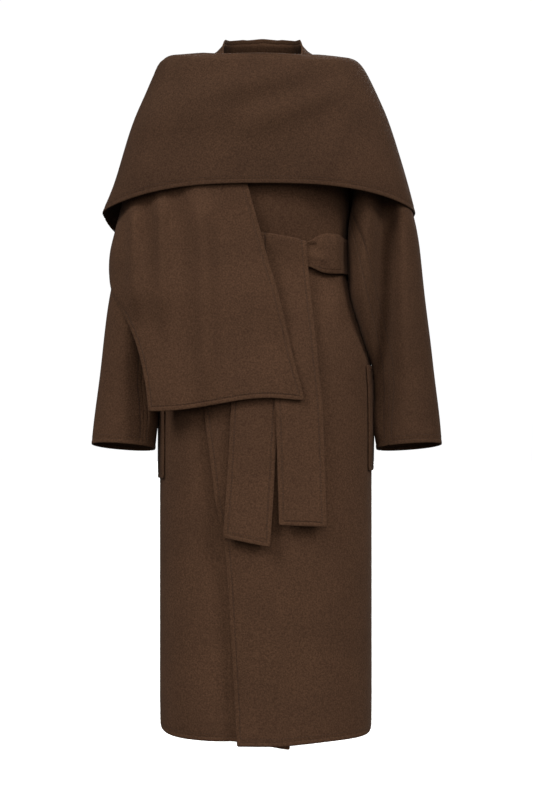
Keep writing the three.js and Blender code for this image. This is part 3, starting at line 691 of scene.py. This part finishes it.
def wool_finish(node):
    """Felted wool: flecks of lighter fibre, a cloudy unevenness, brushed nap and a soft glow, with painted shade
    darkening some pieces.
    """
    has_painted_shade = node in SHADE_PAINTED_PIECES
    name = "felted wool nap down" if has_painted_shade else "felted wool"
    if name in bpy.data.materials:
        return bpy.data.materials[name]
    wool = bpy.context.scene.coat_wool
    # pieces with painted shade get their colour darkened by this share
    depth = PAINTED_SHADE_SHARE if has_painted_shade else 1
    finish, nodes, links, shader = blank_finish(name)
    place = nodes.new("ShaderNodeTexCoord").outputs["Object"]
    flecks = noise(nodes, links, place, wool.fleck, 3)
    clouds = noise(nodes, links, place, CLOUD_SIZE, 2)
    fibres = noise(nodes, links, place, wool.fleck * FIBRE_SHARE, 2, FIBRE_STRETCH)
    strength = reckon(nodes, links, "MULTIPLY", remap(nodes, links, flecks, FLECK_SPREAD), FLECK_STRENGTH)
    tint = blend(nodes, links, strength, shaded(wool.colour, BARE_WOOL), wool.light_fibre)
    shade = nodes.new("ShaderNodeVectorMath")
    shade.operation = "SCALE"
    links.new(tint, shade.inputs[0])
    # the clouds' brightness carries the painted shade as well
    cloud_shades = [brightness * depth for brightness in CLOUD_SHADES]
    links.new(remap(nodes, links, clouds, CLOUD_SPREAD, cloud_shades), shade.inputs["Scale"])
    links.new(shade.outputs["Vector"], shader.inputs["Base Color"])
    bump = nodes.new("ShaderNodeBump")
    bump.inputs["Strength"].default_value = NAP_BUMP
    bump.inputs["Distance"].default_value = wool.nap
    links.new(reckon(nodes, links, "ADD", flecks, fibres), bump.inputs["Height"])
    links.new(bump.outputs["Normal"], shader.inputs["Normal"])
    shader.inputs["Roughness"].default_value = wool.roughness
    shader.inputs["Specular IOR Level"].default_value = WOOL_GLOSS
    shader.inputs["Sheen Weight"].default_value = wool.sheen
    shader.inputs["Sheen Roughness"].default_value = SHEEN_ROUGHNESS
    shader.inputs["Sheen Tint"].default_value = SHEEN_TINT
    return finish


def thread_finish():
    """Twisted thread, a little darker than the cloth."""
    name = "twisted thread"
    if name in bpy.data.materials:
        return bpy.data.materials[name]
    finish, nodes, links, shader = blank_finish(name)
    place = nodes.new("ShaderNodeTexCoord").outputs["Object"]
    twist = noise(nodes, links, place, TWIST_SIZE, 1)
    dark, light = (shaded(bpy.context.scene.coat_wool.thread, brightness) for brightness in TWIST_SHADES)
    links.new(blend(nodes, links, twist, dark, light), shader.inputs["Base Color"])
    shader.inputs["Roughness"].default_value = THREAD_ROUGHNESS
    shader.inputs["Specular IOR Level"].default_value = THREAD_GLOSS
    return finish


# ------------------------------------------------------------------ one finished piece
def make_piece(node):
    """Copies, sews, softens, creases and finishes the cloth of one node."""
    piece = copy_wall(node)
    sew_channels(piece, node)
    soften(piece, plain_points(piece))
    plump_edges(piece)
    crease_cloth(piece, node)
    threads = [] if node in FOLDED else [sew_thread(piece, node)]
    for edge in piece.data.edges:
        edge.use_seam = False
    piece.data.materials.append(wool_finish(node))
    for part in (piece, *threads):
        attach(part, "root")
    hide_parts(node)


class PieceOperator:
    """What the operators of the cloth pieces share."""

    bl_options = {"REGISTER", "UNDO"}
    nodes = ()

    def execute(self, context):
        for node in self.nodes:
            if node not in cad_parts:
                raise RuntimeError(f"the frame has no piece named {node}")
            make_piece(node)
        return {"FINISHED"}


class COAT_OT_back(PieceOperator, bpy.types.Operator):
    """The whole back of the coat."""

    bl_idname = "cape_coat.back"
    bl_label = "Back"
    nodes = ("back",)


class COAT_OT_fronts(PieceOperator, bpy.types.Operator):
    """The two fronts, which cross over each other."""

    bl_idname = "cape_coat.fronts"
    bl_label = "Fronts"
    nodes = ("front_under", "front_over")


class COAT_OT_collar(PieceOperator, bpy.types.Operator):
    """The stand round the back of the neck."""

    bl_idname = "cape_coat.collar"
    bl_label = "Collar"
    nodes = ("collar",)


class COAT_OT_sleeves(PieceOperator, bpy.types.Operator):
    """Both sleeves, each an upper and an under part."""

    bl_idname = "cape_coat.sleeves"
    bl_label = "Sleeves"
    nodes = ("sleeve_left_upper", "sleeve_left_under", "sleeve_right_upper", "sleeve_right_under")


class COAT_OT_cape(PieceOperator, bpy.types.Operator):
    """The cape round the shoulders."""

    bl_idname = "cape_coat.cape"
    bl_label = "Cape"
    nodes = ("cape_front", "cape_back")


class COAT_OT_scarf(PieceOperator, bpy.types.Operator):
    """The scarf's hanging end."""

    bl_idname = "cape_coat.scarf"
    bl_label = "Scarf end"
    nodes = ("scarf_end",)


class COAT_OT_belt(PieceOperator, bpy.types.Operator):
    """The belt round the waist and its two hanging ends."""

    bl_idname = "cape_coat.belt"
    bl_label = "Belt"
    nodes = ("belt_waist", "belt_end_under", "belt_end_over")


class COAT_OT_pockets(PieceOperator, bpy.types.Operator):
    """The upright welts of the side pockets."""

    bl_idname = "cape_coat.pockets"
    bl_label = "Pockets"
    nodes = ("pocket_left", "pocket_right")


# ------------------------------------------------------------------ stage
# Each light by its setting: where it comes from, and its width beside the common softness.
LIGHTS = {
    "key": {"from": (-1.8, -1.3, 2.0), "width": 1},
    "second": {"from": (2.0, -1.4, 1.8), "width": 1},
    "front": {"from": (0.2, -2.6, 1.2), "width": 2},
    "back": {"from": (1.0, 2.4, 1.6), "width": 1},
}
FLOOR_SIZE = 160
FLOOR_COLOUR = (0.9, 0.9, 0.9, 1)
FLOOR_GLOW = 0.5
BACKDROP_RADIUS = 30
BACKDROP_SIDES, BACKDROP_RINGS = 48, 24
SENSOR = 36  # the camera's, in millimetres
FARTHEST = 100  # that the camera sees
BLACK, WHITE = (0, 0, 0, 1), (1, 1, 1, 1)


def soft_light(name, comes_from, strength, softness):
    """A light that shines from one place past the coat's middle, as wide as its softness."""
    bpy.ops.object.light_add(type="SUN", location=comes_from)
    lamp = bpy.context.object
    lamp.name = name
    lamp.data.energy = strength
    lamp.data.angle = softness
    lamp.rotation_euler = Vector(comes_from).to_track_quat("Z", "Y").to_euler()


def glowing_finish(name, colour, glow):
    """A plain finish that gives its own white glow."""
    finish, _, _, shader = blank_finish(name)
    shader.inputs["Base Color"].default_value = colour
    shader.inputs["Roughness"].default_value = 1
    shader.inputs["Specular IOR Level"].default_value = 0
    shader.inputs["Emission Color"].default_value = WHITE
    shader.inputs["Emission Strength"].default_value = glow
    return finish


def lay_floor(studio):
    """The wide, plain floor."""
    deselect()
    bpy.ops.mesh.primitive_plane_add(size=FLOOR_SIZE, location=(0, 0, studio.floor_height))
    bpy.ops.object.transform_apply(location=True)
    floor = bpy.context.object
    floor.name = "pale_floor"
    floor.data.materials.append(glowing_finish("pale floor", FLOOR_COLOUR, FLOOR_GLOW))
    return floor


def hang_backdrop(studio):
    """The white surround, whose faces look inwards."""
    deselect()
    bpy.ops.mesh.primitive_uv_sphere_add(
        segments=BACKDROP_SIDES, ring_count=BACKDROP_RINGS, radius=BACKDROP_RADIUS
    )
    backdrop = bpy.context.object
    backdrop.name = "white_backdrop"
    bpy.ops.object.mode_set(mode="EDIT")
    bpy.ops.mesh.flip_normals()
    bpy.ops.object.mode_set(mode="OBJECT")
    backdrop.data.materials.append(glowing_finish("white backdrop", BLACK, studio.backdrop))
    return backdrop


def light_stage(studio):
    """The even daylight and the soft lights."""
    world = bpy.data.worlds.new("even daylight")
    world.use_nodes = True
    sky = world.node_tree.nodes["Background"]
    sky.inputs["Color"].default_value = WHITE
    sky.inputs["Strength"].default_value = studio.daylight
    bpy.context.scene.world = world
    for name, light in LIGHTS.items():
        soft_light(f"{name}_light", light["from"], getattr(studio, name), light["width"] * studio.softness)


def place_camera(studio):
    """The camera, which looks level at the coat's front."""
    bpy.ops.object.camera_add(location=studio.camera_place, rotation=(math.radians(90), 0, 0))
    camera = bpy.context.object
    camera.name = "studio_camera"
    camera.data.lens = studio.lens
    camera.data.sensor_width = SENSOR
    camera.data.clip_end = FARTHEST
    bpy.context.scene.camera = camera


class COAT_OT_stage(bpy.types.Operator):
    """The pale floor, the soft light and the camera."""

    bl_idname = "cape_coat.stage"
    bl_label = "Stage"
    bl_options = {"REGISTER", "UNDO"}

    def execute(self, context):
        studio = context.scene.coat_studio
        floor = lay_floor(studio)
        backdrop = hang_backdrop(studio)
        # Both are seen by the camera alone, so that the lights give the coat all its shading.
        for surround in (floor, backdrop):
            surround.visible_diffuse = surround.visible_glossy = surround.visible_shadow = False
        light_stage(studio)
        place_camera(studio)
        context.scene.view_settings.view_transform = "Standard"
        return {"FINISHED"}


class COAT_PT_panel(bpy.types.Panel):
    """Lists the coat's pieces and settings."""

    bl_idname = "COAT_PT_panel"
    bl_label = "Cape Coat"
    bl_space_type = "VIEW_3D"
    bl_region_type = "UI"
    bl_category = "Cape Coat"

    def draw(self, context):
        layout = self.layout
        for operator in OPERATORS:
            layout.operator(operator.bl_idname)
        for name, kind in SETTINGS.items():
            box = layout.box()
            for setting in kind.__annotations__:
                box.prop(getattr(context.scene, name), setting)


OPERATORS = (
    COAT_OT_back,
    COAT_OT_fronts,
    COAT_OT_collar,
    COAT_OT_sleeves,
    COAT_OT_cape,
    COAT_OT_scarf,
    COAT_OT_belt,
    COAT_OT_pockets,
    COAT_OT_stage,
)


def register():
    """Adds the settings, the operators and the panel."""
    for kind in (*SETTINGS.values(), *OPERATORS, COAT_PT_panel):
        bpy.utils.register_class(kind)
    for name, kind in SETTINGS.items():
        setattr(bpy.types.Scene, name, PointerProperty(type=kind))


def unregister():
    """Takes them away again."""
    for name in SETTINGS:
        delattr(bpy.types.Scene, name)
    for kind in reversed((*SETTINGS.values(), *OPERATORS, COAT_PT_panel)):
        bpy.utils.unregister_class(kind)


def main():
    """Builds all pieces and the stage."""
    register()
    for operator in OPERATORS:
        group, name = operator.bl_idname.split(".")
        getattr(getattr(bpy.ops, group), name)()


if __name__ == "__main__":
    main()
